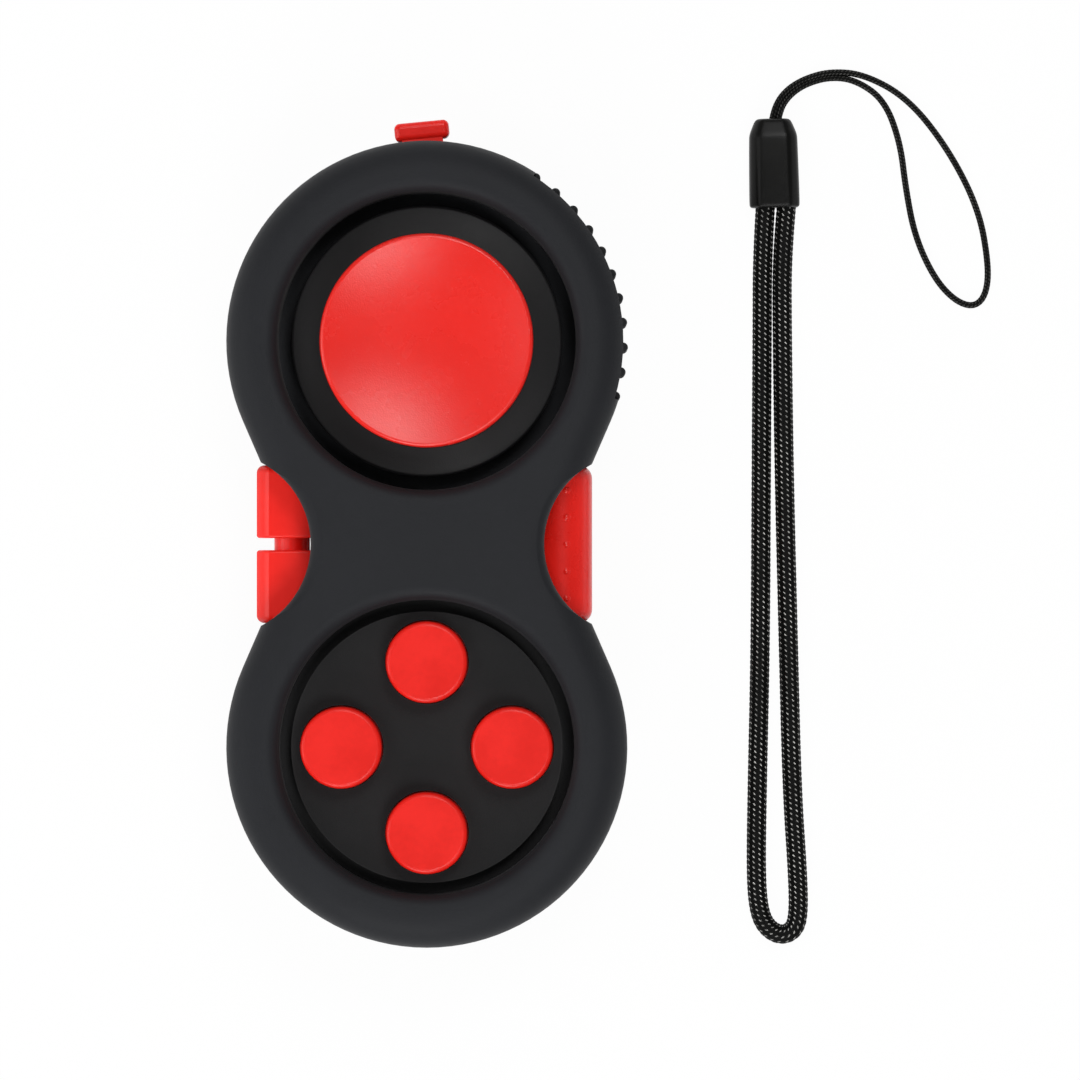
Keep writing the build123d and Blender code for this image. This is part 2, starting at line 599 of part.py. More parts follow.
def right_roller():
    """A round roller with rows of small low studs."""
    solid = rod_y(RIGHT_ROLLER_R, -ROLLER_HALF_LENGTH, ROLLER_HALF_LENGTH, 0, 0)
    ends = solid.edges().group_by(Axis.Y)
    solid = fillet(ends[0] + ends[-1], 1.6)
    studs = []
    for row in range(STUD_ROWS):
        angle = math.radians(STUD_ROW_DEG + 360 / STUD_ROWS * row)
        for place in range(-2, 3):
            reach = RIGHT_ROLLER_R + STUD_PROUD - STUD_BALL_R
            x, z = reach * math.cos(angle), reach * math.sin(angle)
            studs.append(Pos(x, place * STUD_PITCH, z) * Sphere(STUD_BALL_R))
    solid += studs
    solid -= rod_y(AXLE_R + AXLE_CLEAR, -12, 12, 0, 0)
    return Pos(RIGHT_ROLLER_X, 0, ROLLER_Z) * solid


def axle(x):
    half = POCKET_HALF_LENGTH + POCKET_END_T - 0.6
    return rod_y(AXLE_R, -half, half, x, ROLLER_Z)


def roller_spring():
    """A bowed leaf that the square roller rides over, so that it settles on its flats."""
    thick = 0.3
    low, high = (-10.72, 6.4), (-10.72, 15.6)
    bow = ThreePointArc(low, (-11.25, ROLLER_Z), high)
    back = ThreePointArc((high[0] + thick, high[1]), (-10.95, ROLLER_Z), (low[0] + thick, low[1]))
    outline = bow + Line(high, back @ 0) + back + Line(back @ 1, low)
    return extrude(make_face(Plane.XZ * outline), 4.0, both=True)


def rear_dial():
    z1 = DIAL_Z + DIAL_T
    dial = rod(DIAL_R, DIAL_Z, z1)
    dial = fillet(dial.edges().group_by(Axis.Z)[0], 0.6)
    ball_r = 8.0
    dial -= Pos(6.4, 0, DIAL_Z + 1.1 - ball_r) * Sphere(ball_r)
    dial += rod(DIAL_BOSS_R, z1 - 0.1, DIAL_POCKET_D + DIAL_WALL + 0.2)
    dial -= rod(PILOT_R, 1.6, 10)
    return Pos(0, LOBE_Y, 0) * dial


def dial_washer():
    z0 = DIAL_POCKET_D + DIAL_WALL + 0.2
    return rod(4.0, z0, z0 + 0.5, 0, LOBE_Y) - rod(PILOT_R + 0.1, z0 - 1, z0 + 1, 0, LOBE_Y)


def dial_screw():
    seat = DIAL_POCKET_D + DIAL_WALL + 0.7
    return rod(1.9, seat, seat + 0.8, 0, LOBE_Y) + rod(PILOT_R, 1.8, seat, 0, LOBE_Y)


def strap_bar():
    return rod_x(STRAP_BAR_R, -4.6, 4.6, STRAP_BAR_Y, STRAP_BAR_Z)


def strap_sleeve():
    """A moulded sleeve with chamfered corners and a tapered nose."""
    corner = 1.2
    outline = Rectangle(SLEEVE_W, SLEEVE_T)
    outline = chamfer(outline.vertices(), corner)
    length = SLEEVE_Y[1] - SLEEVE_Y[0] - SLEEVE_TAPER_H
    barrel = extrude(outline, length)
    nose = extrude(Pos(0, 0, length) * outline, SLEEVE_TAPER_H, taper=25)
    return Pos(SLEEVE_X, SLEEVE_Y[0], SLEEVE_T / 2) * Rot(-90, 0, 0) * (barrel + nose)


def cord_tube(name, points, diameter):
    """A tube along straight runs joined by arcs, each as large as its two runs allow."""
    places = [Vector(*p) for p in points]
    runs = [b - a for a, b in zip(places, places[1:])]
    radii = []
    for before, after in zip(runs, runs[1:]):
        half_turn = math.radians(before.get_angle(after)) / 2
        radii.append(ARC_SHARE * min(before.length, after.length) / math.tan(half_turn))
    path = FilletPolyline(*places, radius=radii)
    section = Plane(path @ 0, z_dir=path % 0) * Circle(diameter / 2)
    tube = sweep(section, path)
    ideal = math.pi * diameter**2 / 4 * path.length
    print(name, "length", round(path.length, 1), "radii", [round(r, 1) for r in radii])
    print(name, "volume", round(tube.volume, 2), "section times length", round(ideal, 2))
    return tube


def save(name, shape):
    export_step(shape, f"parts/{name}.step")


os.makedirs("parts", exist_ok=True)
outer = blank()
inside = cavity()
save("front_shell", front_shell(outer, inside))
save("rear_shell", rear_shell(outer, inside))
save("housing_screws", housing_screws())
save("grip_strip", grip_strip())

save("stick_cap", stick_cap())
save("stick_skirt", stick_skirt())
save("stick_stem", stick_stem())
save("stick_screw", stick_screw())
save("stick_diaphragm", stick_diaphragm())
save("stem_pin", stem_pin())
save("gimbal_ring", gimbal_ring())
save("gimbal_pins", gimbal_pins())
save("gimbal_frame", gimbal_frame())
save("frame_screws", frame_screws())

save("button_plate", button_plate())
save("button_base", button_base())
save("base_screws", base_screws())
for place, (bx, by) in button_places().items():
    save(f"button_{place}", button(bx, by))
    save(f"button_dome_{place}", button_dome(bx, by))

save("toggle_lever", toggle_lever())
save("toggle_pin", toggle_pin())
save("toggle_spring", toggle_spring())

save("left_roller", left_roller())
save("left_axle", axle(LEFT_ROLLER_X))
save("roller_spring", roller_spring())
save("right_roller", right_roller())
save("right_axle", axle(RIGHT_ROLLER_X))

save("rear_dial", rear_dial())
save("dial_washer", dial_washer())
save("dial_screw", dial_screw())

save("strap_bar", strap_bar())
save("strap_sleeve", strap_sleeve())
save("strap_loop", cord_tube("strap_loop", STRAP_ROUTE, STRAP_D))
save("cord_loop", cord_tube("cord_loop", CORD_ROUTE, CORD_D))
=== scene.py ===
"""Fidget pad with its wrist strap: cords, sleeve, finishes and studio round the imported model.

All places are in metres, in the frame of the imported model. The pad lies on its back, +Z is its
front face, +Y the end with the toggle and +X the side with the studded roller.
"""

import math

import bmesh
import bpy
import numpy as np
from bpy.props import FloatProperty, FloatVectorProperty, IntProperty, PointerProperty
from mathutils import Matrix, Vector


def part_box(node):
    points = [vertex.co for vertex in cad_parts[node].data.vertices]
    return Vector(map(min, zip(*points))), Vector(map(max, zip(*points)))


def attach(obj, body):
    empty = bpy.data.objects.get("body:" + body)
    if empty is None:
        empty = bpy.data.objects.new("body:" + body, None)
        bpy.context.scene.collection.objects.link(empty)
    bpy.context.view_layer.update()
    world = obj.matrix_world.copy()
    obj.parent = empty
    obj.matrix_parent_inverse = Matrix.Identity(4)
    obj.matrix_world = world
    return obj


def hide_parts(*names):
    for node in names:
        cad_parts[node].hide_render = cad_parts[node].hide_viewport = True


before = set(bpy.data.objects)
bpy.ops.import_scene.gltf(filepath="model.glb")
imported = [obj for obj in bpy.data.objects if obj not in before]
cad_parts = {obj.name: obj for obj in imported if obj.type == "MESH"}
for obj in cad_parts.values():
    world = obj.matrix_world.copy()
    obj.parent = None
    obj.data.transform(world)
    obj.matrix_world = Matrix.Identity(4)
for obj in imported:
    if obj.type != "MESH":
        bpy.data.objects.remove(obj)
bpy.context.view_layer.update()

bl_info = {
    "name": "Fidget Pad",
    "version": (1, 0, 0),
    "blender": (4, 5, 0),
    "location": "View3D > Sidebar > Fidget Pad",
    "description": "Builds the strap, finishes and studio of a fidget pad",
    "category": "Object",
}

MM = 0.001

# Centreline of the thick strap, from the sleeve round the bottom fold and back, in millimetres
STRAP_ROUTE = (
    (41.1, 41.9, 1.65), (40.69, 35.5, 1.2), (40.67, 26.0, 1.17), (40.55, 8.0, 1.17),
    (40.45, -12.0, 1.17), (40.05, -30.0, 1.17), (39.9, -40.5, 1.17), (40.3, -44.9, 1.17),
    (41.35, -46.85, 1.17), (43.05, -47.7, 1.17), (44.6, -46.95, 1.17), (45.1, -44.9, 1.17),
    (45.0, -40.3, 1.17), (44.3, -30.0, 1.17), (43.85, -12.0, 1.17), (43.35, 8.0, 1.17),
    (43.1, 26.0, 1.17), (43.08, 35.5, 1.2), (43.68, 41.9, 1.65),
)
# Centreline of the thin cord, out of the sleeve, round its tip and back, in millimetres
CORD_ROUTE = (
    (41.72, 50.7, 2.2), (41.95, 52.6, 2.05), (43.14, 54.9, 1.0), (45.44, 56.58, 0.45),
    (48.9, 57.63, 0.42), (53.2, 57.25, 0.42), (58.5, 54.3, 0.42), (63.4, 48.1, 0.42),
    (67.1, 40.8, 0.42), (68.3, 34.0, 0.42), (68.0, 30.4, 0.42), (66.5, 28.85, 0.42),
    (64.1, 29.7, 0.42), (61.6, 32.5, 0.42), (59.3, 37.5, 0.42), (58.2, 43.2, 0.42),
    (57.5, 49.0, 0.42), (55.6, 54.1, 0.42), (52.2, 56.52, 0.42), (49.0, 56.97, 0.42),
    (45.8, 56.05, 0.45), (43.72, 54.45, 0.95), (42.68, 52.5, 2.05), (42.47, 50.7, 2.2),
)

# The sleeve starts as an octagon, whose front and back faces are stretched sideways. It narrows
# to its shoulder and then tapers, and its tapered end leans towards the pad.
SLEEVE_SIDES = 8
SLEEVE_FACE_STRETCH = 1.55
SLEEVE_SHOULDER = (0.95, 1, 0.95)
SLEEVE_TAPERED_END = (0.72, 1, 0.66)
SLEEVE_LEAN = math.radians(-1.2)
SLEEVE_ROUNDING = 0.5 * MM
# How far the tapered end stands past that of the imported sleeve
SLEEVE_OVERHANG = 0.5 * MM

# Middle of the view at the pad's mid plane, and the point that the soft boxes face
VIEW_CENTRE = (13.6 * MM, 0.5 * MM, 11 * MM)
LAMP_TARGET = (0.0, 0.0, 11 * MM)
LAMP_DISTANCE = 1.1
LAMP_WATTS = 10.0
FLOOR_DROP = 0.05 * MM
# Share of plain white that the camera and reflections see on the floor
FLOOR_GLOW = 0.96


def linear(red, green, blue):
    """A colour given on the usual 0 to 255 screen scale, as linear light with full opacity."""
    shares = [value / 255 for value in (red, green, blue)]
    light = [s / 12.92 if s <= 0.04045 else ((s + 0.055) / 1.055) ** 2.4 for s in shares]
    return (*light, 1.0)


def colour_property(name, description, default):
    return FloatVectorProperty(
        name=name, description=description, default=default, size=4, min=0, max=1,
        subtype="COLOR",
    )


def length_property(name, description, default):
    return FloatProperty(
        name=name, description=description, default=default, min=0, precision=5,
        subtype="DISTANCE", unit="LENGTH",
    )


def share_property(name, description, default):
    return FloatProperty(
        name=name, description=description, default=default, min=0, max=1, subtype="FACTOR",
    )


class FidgetPadFinish(bpy.types.PropertyGroup):
    """Colours and surface textures of the pad and its strap."""

    shell: colour_property(
        "Shell", "Soft black of the two housing shells", linear(34, 35, 38))
    well: colour_property(
        "Well", "Black of the skirt and of the button plate", linear(27, 27, 28))
    grip: colour_property(
        "Grip", "Black rubber of the bumped strip", linear(29, 30, 32))
    cap: colour_property(
        "Cap", "Bright red of the thumb disc and the buttons", linear(228, 27, 17))
    # Painted light: a lighter red than the cap's, to make up for the rollers rendering darker down
    # in their windows.
    control_with_painted_light: colour_property(
        "Control with painted light", "Red of the rollers and the toggle", linear(252, 34, 25))
    steel: colour_property(
        "Steel", "Zinc plated pins, screws and bar", linear(196, 197, 200))
    acetal: colour_property(
        "Acetal", "Natural white of the inner parts", linear(221, 219, 213))
    silicone: colour_property(
        "Silicone", "Grey of the spring domes", linear(196, 198, 200))
    sleeve: colour_property(
        "Sleeve", "Black of the moulded strap sleeve", linear(9, 9, 8))
    yarn: colour_property(
        "Yarn", "Black polyester of the strap", linear(6, 6, 5))
    # Pale flecks painted as the highlights on the strap's stitches.
    highlight_fleck: colour_property(
        "Highlight fleck", "Pale flecks painted as highlights on the strap's stitches", linear(226, 225, 220))
    grain_size: length_property(
        "Grain size", "Width of one pit of the spark texture", 0.00022)
    # Edges are lightened partly for finger wear and partly as painted highlight.
    edge_radius: length_property(
        "Edge radius", "How far wear and painted highlight reach in from the edges", 0.0006)
    edge_wear_highlight_share: share_property(
        "Edge wear and highlight", "How much lighter the edges are, for wear and painted highlight", 0.1)


class FidgetPadStrap(bpy.types.PropertyGroup):
    """Sizes of the braided strap, the thin cord and the sleeve."""

    strap_diameter: length_property(
        "Strap diameter", "Thickness of the braided loop", 0.0022)
    strap_columns: IntProperty(
        name="Strap columns", description="Columns of stitches round the strap",
        default=10, min=4, max=24)
    strap_pitch: length_property(
        "Strap pitch", "Length of one stitch along the strap", 0.00064)
    lean: FloatProperty(
        name="Stitch lean", description="How far along a stitch leans over its width",
        default=0.9, min=-2, max=2)
    cord_diameter: length_property(
        "Cord diameter", "Thickness of the thin loop", 0.00075)
    cord_columns: IntProperty(
        name="Cord columns", description="Columns of stitches round the thin cord",
        default=6, min=4, max=24)
    cord_pitch: length_property(
        "Cord pitch", "Length of one stitch along the thin cord", 0.00045)
    sleeve_width: length_property(
        "Sleeve width", "Width of the sleeve at its open end", 0.0062)
    sleeve_thickness: length_property(
        "Sleeve thickness", "Thickness of the sleeve at its open end", 0.0044)
    sleeve_taper: length_property(
        "Sleeve taper", "Height of the tapered end", 0.0020)


class FidgetPadStudio(bpy.types.PropertyGroup):
    """Camera, lamps and floor."""

    view_width: length_property(
        "View width", "Width of what the camera sees at the pad", 0.1305)
    view_height: length_property(
        "Camera height", "Height of the camera above the pad's mid plane", 1.2)
    sky: share_property(
        "Sky", "Strength of the room light", 0.25)
    lamps: share_property(
        "Lamps", "Strength of the soft boxes", 0.29)
    floor_size: length_property(
        "Floor size", "Side of the square floor", 3.0)


# Small helpers for objects and meshes


def deselect_all():
    if bpy.context.mode != "OBJECT":
        bpy.ops.object.mode_set(mode="OBJECT")
    bpy.ops.object.select_all(action="DESELECT")


def select_only(obj):
    deselect_all()
    obj.select_set(True)
    bpy.context.view_layer.objects.active = obj


def select_faces(obj, wanted):
    """In edit mode, selects the faces whose centre and normal pass the test."""
    bpy.ops.mesh.select_all(action="DESELECT")
    bpy.ops.mesh.select_mode(type="FACE")
    shape = bmesh.from_edit_mesh(obj.data)
    for face in shape.faces:
        if wanted(face.calc_center_median(), face.normal):
            face.select_set(True)
    bmesh.update_edit_mesh(obj.data)


def settle(obj):
    """Moves the object's place into its mesh."""
    select_only(obj)
    bpy.ops.object.transform_apply(location=True, rotation=True, scale=True)


def apply_modifiers(obj):
    select_only(obj)
    for modifier in list(obj.modifiers):
        bpy.ops.object.modifier_apply(modifier=modifier.name)


def paint(material, *node_names):
    """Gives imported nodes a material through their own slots."""
    for name in node_names:
        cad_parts[name].material_slots[0].material = material


# Shader node helpers


class Wiring:
    """A node tree under construction. Each call adds one node."""

    def __init__(self, tree):
        self.tree = tree
        self.count = 0

    def add(self, kind, sockets=None, **settings):
        node = self.tree.nodes.new("ShaderNode" + kind)
        node.location = (190 * self.count, -220 * (self.count % 4))
        self.count += 1
        for name, value in settings.items():
            setattr(node, name, value)
        for key, value in (sockets or {}).items():
            if isinstance(value, bpy.types.NodeSocket):
                self.tree.links.new(value, node.inputs[key])
            else:
                node.inputs[key].default_value = value
        return node

    def math(self, operation, *values, clamp=False):
        sockets = dict(enumerate(values))
        return self.add("Math", sockets, operation=operation, use_clamp=clamp).outputs[0]

    def remap(self, value, low, high, to_low=0.0, to_high=1.0):
        sockets = {0: value, 1: low, 2: high, 3: to_low, 4: to_high}
        node = self.add("MapRange", sockets, interpolation_type="SMOOTHSTEP")
        return node.outputs[0]

    def blend(self, share, a, b, mode="MIX"):
        """A mix of two colours."""
        node = self.add("Mix", {0: share, 6: a, 7: b}, data_type="RGBA", blend_type=mode)
        return node.outputs[2]

    def noise(self, vector, scale, detail=2.0, roughness=0.5):
        sockets = {"Vector": vector, "Scale": scale, "Detail": detail, "Roughness": roughness}
        return self.add("TexNoise", sockets).outputs[0]


def new_group(name, inputs, outputs):
    """A shader node group with named float, vector or colour sockets, and its wiring."""
    group = bpy.data.node_groups.new(name, "ShaderNodeTree")
    for socket_name, kind, default in inputs:
        socket = group.interface.new_socket(
            name=socket_name, in_out="INPUT", socket_type="NodeSocket" + kind)
        if default is not None:
            socket.default_value = default
    for socket_name, kind in outputs:
        group.interface.new_socket(
            name=socket_name, in_out="OUTPUT", socket_type="NodeSocket" + kind)
    entry = group.nodes.new("NodeGroupInput")
    entry.location = (-250, 0)
    exit_node = group.nodes.new("NodeGroupOutput")
    exit_node.location = (2400, 0)
    return group, Wiring(group), entry.outputs, exit_node.inputs


def make_spark_grain():
    """Fine pits of a spark-eroded mould, and a mask of rare spots for painted glints."""
    group, w, entry, end = new_group(
        "Spark Grain",
        [("Vector", "Vector", None), ("Size", "Float", 0.0002)],
        [("Height", "Float"), ("Painted Glint", "Float")],
    )
    scale = w.math("DIVIDE", 1.0, entry["Size"])
    pits = w.noise(entry["Vector"], scale, 3.0, 0.6)
    cells = w.add(
        "TexVoronoi", {"Vector": entry["Vector"], "Scale": w.math("MULTIPLY", scale, 1.3)}
    ).outputs["Distance"]
    height = w.math("ADD", w.math("MULTIPLY", pits, 0.65), w.math("MULTIPLY", cells, 0.35))
    fine = w.noise(entry["Vector"], w.math("MULTIPLY", scale, 0.9), 0.0, 0.5)
    w.tree.links.new(height, end["Height"])
    # Rare spots that are painted as glints.
    w.tree.links.new(w.remap(fine, 0.66, 0.76), end["Painted Glint"])
    return group


def make_mottle():
    """Slow unevenness of a moulded surface, from broad flow clouds to small patches."""
    group, w, entry, end = new_group(
        "Mould Mottle",
        [("Vector", "Vector", None), ("Size", "Float", 0.01)],
        [("Tone", "Float")],
    )
    scale = w.math("DIVIDE", 1.0, entry["Size"])
    broad = w.noise(entry["Vector"], scale, 2.0, 0.5)
    small = w.noise(entry["Vector"], w.math("MULTIPLY", scale, 7.0), 3.0, 0.6)
    tone = w.math("ADD", w.math("MULTIPLY", broad, 0.7), w.math("MULTIPLY", small, 0.3))
    w.tree.links.new(w.remap(tone, 0.3, 0.7), end["Tone"])
    return group


def make_edge_wear_and_highlight():
    """Mask of the edges, for finger wear and painted highlights, broken up a little along their
    length.
    """
    group, w, entry, end = new_group(
        "Edge Wear And Painted Highlight",
        [("Vector", "Vector", None), ("Radius", "Float", 0.0005), ("Breakup", "Float", 0.004)],
        [("Edge", "Float")],
    )
    rounded = w.add("Bevel", {"Radius": entry["Radius"]}, samples=6).outputs[0]
    facing = w.add("NewGeometry").outputs["Normal"]
    dot = w.add("VectorMath", {0: rounded, 1: facing}, operation="DOT_PRODUCT").outputs["Value"]
    turn = w.remap(w.math("SUBTRACT", 1.0, dot), 0.01, 0.22)
    scale = w.math("DIVIDE", 1.0, entry["Breakup"])
    patches = w.remap(w.noise(entry["Vector"], scale, 3.0, 0.6), 0.25, 0.6, 0.55, 1.0)
    w.tree.links.new(w.math("MULTIPLY", turn, patches, clamp=True), end["Edge"])
    return group


def make_brushed():
    """Fine drawn lines along one axis of a metal part."""
    group, w, entry, end = new_group(
        "Drawn Metal",
        [("Vector", "Vector", None), ("Size", "Float", 0.0001)],
        [("Height", "Float"), ("Tone", "Float")],
    )
    stretched = w.add("Mapping", {"Vector": entry["Vector"], "Scale": (1.0, 0.06, 1.0)}).outputs[0]
    scale = w.math("DIVIDE", 1.0, entry["Size"])
    lines = w.noise(stretched, scale, 2.0, 0.6)
    stains = w.noise(entry["Vector"], w.math("MULTIPLY", scale, 0.05), 3.0, 0.6)
    w.tree.links.new(lines, end["Height"])
    w.tree.links.new(w.remap(stains, 0.3, 0.7), end["Tone"])
    return group


def make_stitch():
    """Braid on a UV map that counts columns across and stitches along.

    Neighbouring columns are half a stitch apart and every stitch leans the same way. The outputs
    are the body of each stitch, a pale fleck in its middle that is painted as its highlight, and the
    filaments of its yarn.
    """
    group, w, entry, end = new_group(
        "Braid Stitch",
        [("Vector", "Vector", None), ("Lean", "Float", 0.4), ("Fleck Highlight Width", "Float", 0.2),
         ("Fleck Highlight Length", "Float", 0.2)],
        [("Body", "Float"), ("Painted Highlight Mask", "Float"), ("Filament", "Float")],
    )
    parts = w.add("SeparateXYZ", {0: entry["Vector"]}).outputs
    column = w.math("FLOOR", parts[0])
    odd = w.math("MODULO", column, 2.0)
    across = w.math("SUBTRACT", w.math("FRACT", parts[0]), 0.5)
    lean = w.math("MULTIPLY", entry["Lean"], across)
    row = w.math("SUBTRACT", w.math("ADD", parts[1], w.math("MULTIPLY", odd, 0.5)), lean)
    along = w.math("SUBTRACT", w.math("FRACT", row), 0.5)
    x = w.math("DIVIDE", across, entry["Fleck Highlight Length"])
    y = w.math("DIVIDE", along, entry["Fleck Highlight Width"])
    reach = w.math("SQRT", w.math("ADD", w.math("MULTIPLY", x, x), w.math("MULTIPLY", y, y)))
    cell = w.add("CombineXYZ", {0: column, 1: w.math("FLOOR", row)}).outputs[0]
    chance = w.add("TexWhiteNoise", {"Vector": cell}, noise_dimensions="2D").outputs[0]
    # Mask of a pale fleck painted as the highlight on each stitch.
    painted_highlight = w.math("MULTIPLY", w.remap(reach, 1.15, 0.55), w.remap(chance, 0.0, 1.0, 0.6, 1.0))
    ridge = w.math("COSINE", w.math("MULTIPLY", across, math.pi))
    swell = w.math("ABSOLUTE", w.math("COSINE", w.math("MULTIPLY", along, math.pi)))
    body = w.math("MULTIPLY", ridge, w.math("ADD", w.math("MULTIPLY", swell, 0.6), 0.4))
    strands = w.math("SINE", w.math("MULTIPLY", w.math("ADD", across, along), 40.0))
    w.tree.links.new(body, end["Body"])
    w.tree.links.new(painted_highlight, end["Painted Highlight Mask"])
    w.tree.links.new(w.math("MULTIPLY", strands, 0.5), end["Filament"])
    return group


def shared(name, maker):
    """A node group that is built the first time that a material asks for it."""
    return bpy.data.node_groups.get(name) or maker()


def place_group(w, name, maker, sockets):
    node = w.add("Group", node_tree=shared(name, maker))
    for key, value in sockets.items():
        if isinstance(value, bpy.types.NodeSocket):
            w.tree.links.new(value, node.inputs[key])
        else:
            node.inputs[key].default_value = value
    return node.outputs


def new_material(name):
    """An empty material: its wiring, its Principled shader and its object coordinates."""
    material = bpy.data.materials.new(name)
    material.use_nodes = True
    material.node_tree.nodes.clear()
    w = Wiring(material.node_tree)
    shader = w.add("BsdfPrincipled")
    output = w.add("OutputMaterial")
    w.tree.links.new(shader.outputs[0], output.inputs[0])
    place = w.add("TexCoord").outputs["Object"]
    return material, w, shader, place


def scaled(colour, share):
    return (*[min(1.0, value * share) for value in colour[:3]], 1.0)


def lighter(colour, share):
    return (*[value + (1 - value) * share for value in colour[:3]], 1.0)


def moulded(name, colour, roughness, grain, grain_depth, specular=0.5, wear_highlight_amount=0.0,
            edge_radius=0.0006, mottle=0.012, unevenness=0.07, painted_glint=0.0, **constants):
    """Injection-moulded plastic or rubber with spark grain, painted glints, flow mottle, and edges
    lightened for wear and as painted highlights.
    """
    material, w, shader, place = new_material(name)
    tone = place_group(w, "Mould Mottle", make_mottle, {"Vector": place, "Size": mottle})["Tone"]
    pits = place_group(w, "Spark Grain", make_spark_grain, {"Vector": place, "Size": grain})
    wear_and_highlight_mask = place_group(
        w, "Edge Wear And Painted Highlight", make_edge_wear_and_highlight,
        {"Vector": place, "Radius": edge_radius, "Breakup": 0.003})["Edge"]
    base = w.blend(tone, scaled(colour, 1 - unevenness), scaled(colour, 1 + unevenness))
    # Painted glints: rare spots of the grain lightened towards white.
    base = w.blend(w.math("MULTIPLY", pits["Painted Glint"], painted_glint), base, lighter(colour, 0.35))
    # Edges lightened towards white: partly finger wear, partly painted highlight.
    base = w.blend(w.math("MULTIPLY", wear_and_highlight_mask, wear_highlight_amount), base, lighter(colour, 0.12))
    w.tree.links.new(base, shader.inputs["Base Color"])
    rough = w.math("ADD", roughness - 0.5 * unevenness, w.math("MULTIPLY", tone, unevenness))
    rough = w.math("SUBTRACT", rough, w.math("MULTIPLY", wear_and_highlight_mask, 0.1), clamp=True)
    w.tree.links.new(rough, shader.inputs["Roughness"])
    bump = w.add("Bump", {"Height": pits["Height"], "Strength": 1.0, "Distance": grain_depth})
    w.tree.links.new(bump.outputs[0], shader.inputs["Normal"])
    shader.inputs["Specular IOR Level"].default_value = specular
    for key, value in constants.items():
        shader.inputs[key.replace("_", " ").title()].default_value = value
    return material


def drawn_metal(name, colour, roughness):
    """Plated or polished steel with drawing lines and faint stains."""
    material, w, shader, place = new_material(name)
    lines = place_group(w, "Drawn Metal", make_brushed, {"Vector": place, "Size": 0.00012})
    wear_and_highlight_mask = place_group(
        w, "Edge Wear And Painted Highlight", make_edge_wear_and_highlight,
        {"Vector": place, "Radius": 0.0002, "Breakup": 0.002})["Edge"]
    base = w.blend(lines["Tone"], scaled(colour, 0.85), colour)
    # Edges lightened towards white: partly wear, partly painted highlight.
    base = w.blend(w.math("MULTIPLY", wear_and_highlight_mask, 0.5), base, lighter(colour, 0.4))
    w.tree.links.new(base, shader.inputs["Base Color"])
    rough = w.math("ADD", roughness, w.math("MULTIPLY", lines["Tone"], 0.1))
    w.tree.links.new(rough, shader.inputs["Roughness"])
    bump = w.add("Bump", {"Height": lines["Height"], "Strength": 0.5, "Distance": 0.00001})
    w.tree.links.new(bump.outputs[0], shader.inputs["Normal"])
    shader.inputs["Metallic"].default_value = 1.0
    return material


def braided_yarn(name, yarn, painted_highlight, fleck_highlight_share, lean, width, length, fuzz):
    """Braided polyester on the cord's own UV map, with painted shade between the stitches and pale
    flecks painted as their highlights.
    """
    material, w, shader, _ = new_material(name)
    uv = w.add("UVMap", uv_map="braid").outputs[0]
    stitch = place_group(
        w, "Braid Stitch", make_stitch,
        {"Vector": uv, "Lean": lean, "Fleck Highlight Width": width, "Fleck Highlight Length": length})
    # The painted highlights fade in patches along the cord.
    highlight_fade = w.remap(w.noise(uv, 0.06, 2.0, 0.5), 0.35, 0.62, 0.45, 1.0)
    # Painted shade and light: the yarn darker down between the stitches and lighter on their crowns.
    base = w.blend(stitch["Body"], scaled(yarn, 0.35), scaled(yarn, 1.25))
    # Pale flecks painted as the highlights of the stitches.
    base = w.blend(w.math("MULTIPLY", w.math("MULTIPLY", stitch["Painted Highlight Mask"], highlight_fade), fleck_highlight_share),
                   base, painted_highlight)
    w.tree.links.new(base, shader.inputs["Base Color"])
    rough = w.math("SUBTRACT", 0.62, w.math("MULTIPLY", stitch["Painted Highlight Mask"], 0.2))
    w.tree.links.new(rough, shader.inputs["Roughness"])
    height = w.math("ADD", stitch["Body"], w.math("MULTIPLY", stitch["Filament"], fuzz))
    bump = w.add("Bump", {"Height": height, "Strength": 0.8, "Distance": 0.00006})
    w.tree.links.new(bump.outputs[0], shader.inputs["Normal"])
    shader.inputs["Specular IOR Level"].default_value = 0.12
    shader.inputs["Sheen Weight"].default_value = 0.01
    shader.inputs["Sheen Roughness"].default_value = 0.4
    return material


# Cords


def lay_route(name, route):
    """The smooth centreline that a cord follows, read from a NURBS spline through its route."""
    curve = bpy.data.curves.new(name, "CURVE")
    curve.dimensions = "3D"
    curve.resolution_u = 96
    spline = curve.splines.new("NURBS")
    spline.points.add(len(route) - 1)
    for point, place in zip(spline.points, route):
        point.co = (*(value * MM for value in place), 1.0)
    spline.order_u = 3
    spline.use_endpoint_u = True
    carrier = bpy.data.objects.new(name, curve)
    mesh = bpy.data.meshes.new_from_object(carrier)
    line = np.array([vertex.co for vertex in mesh.vertices], float)
    bpy.data.meshes.remove(mesh)
    bpy.data.objects.remove(carrier)
    bpy.data.curves.remove(curve)
    return line


def walked(line, step):
    """The line at even steps, the distance along it and its whole length."""
    gaps = np.linalg.norm(np.diff(line, axis=0), axis=1)
    along = np.concatenate([[0.0], np.cumsum(gaps)])
    at = np.linspace(0, along[-1], math.ceil(along[-1] / step) + 1)
    even = np.stack([np.interp(at, along, line[:, axis]) for axis in range(3)], axis=1)
    return even, at, along[-1]


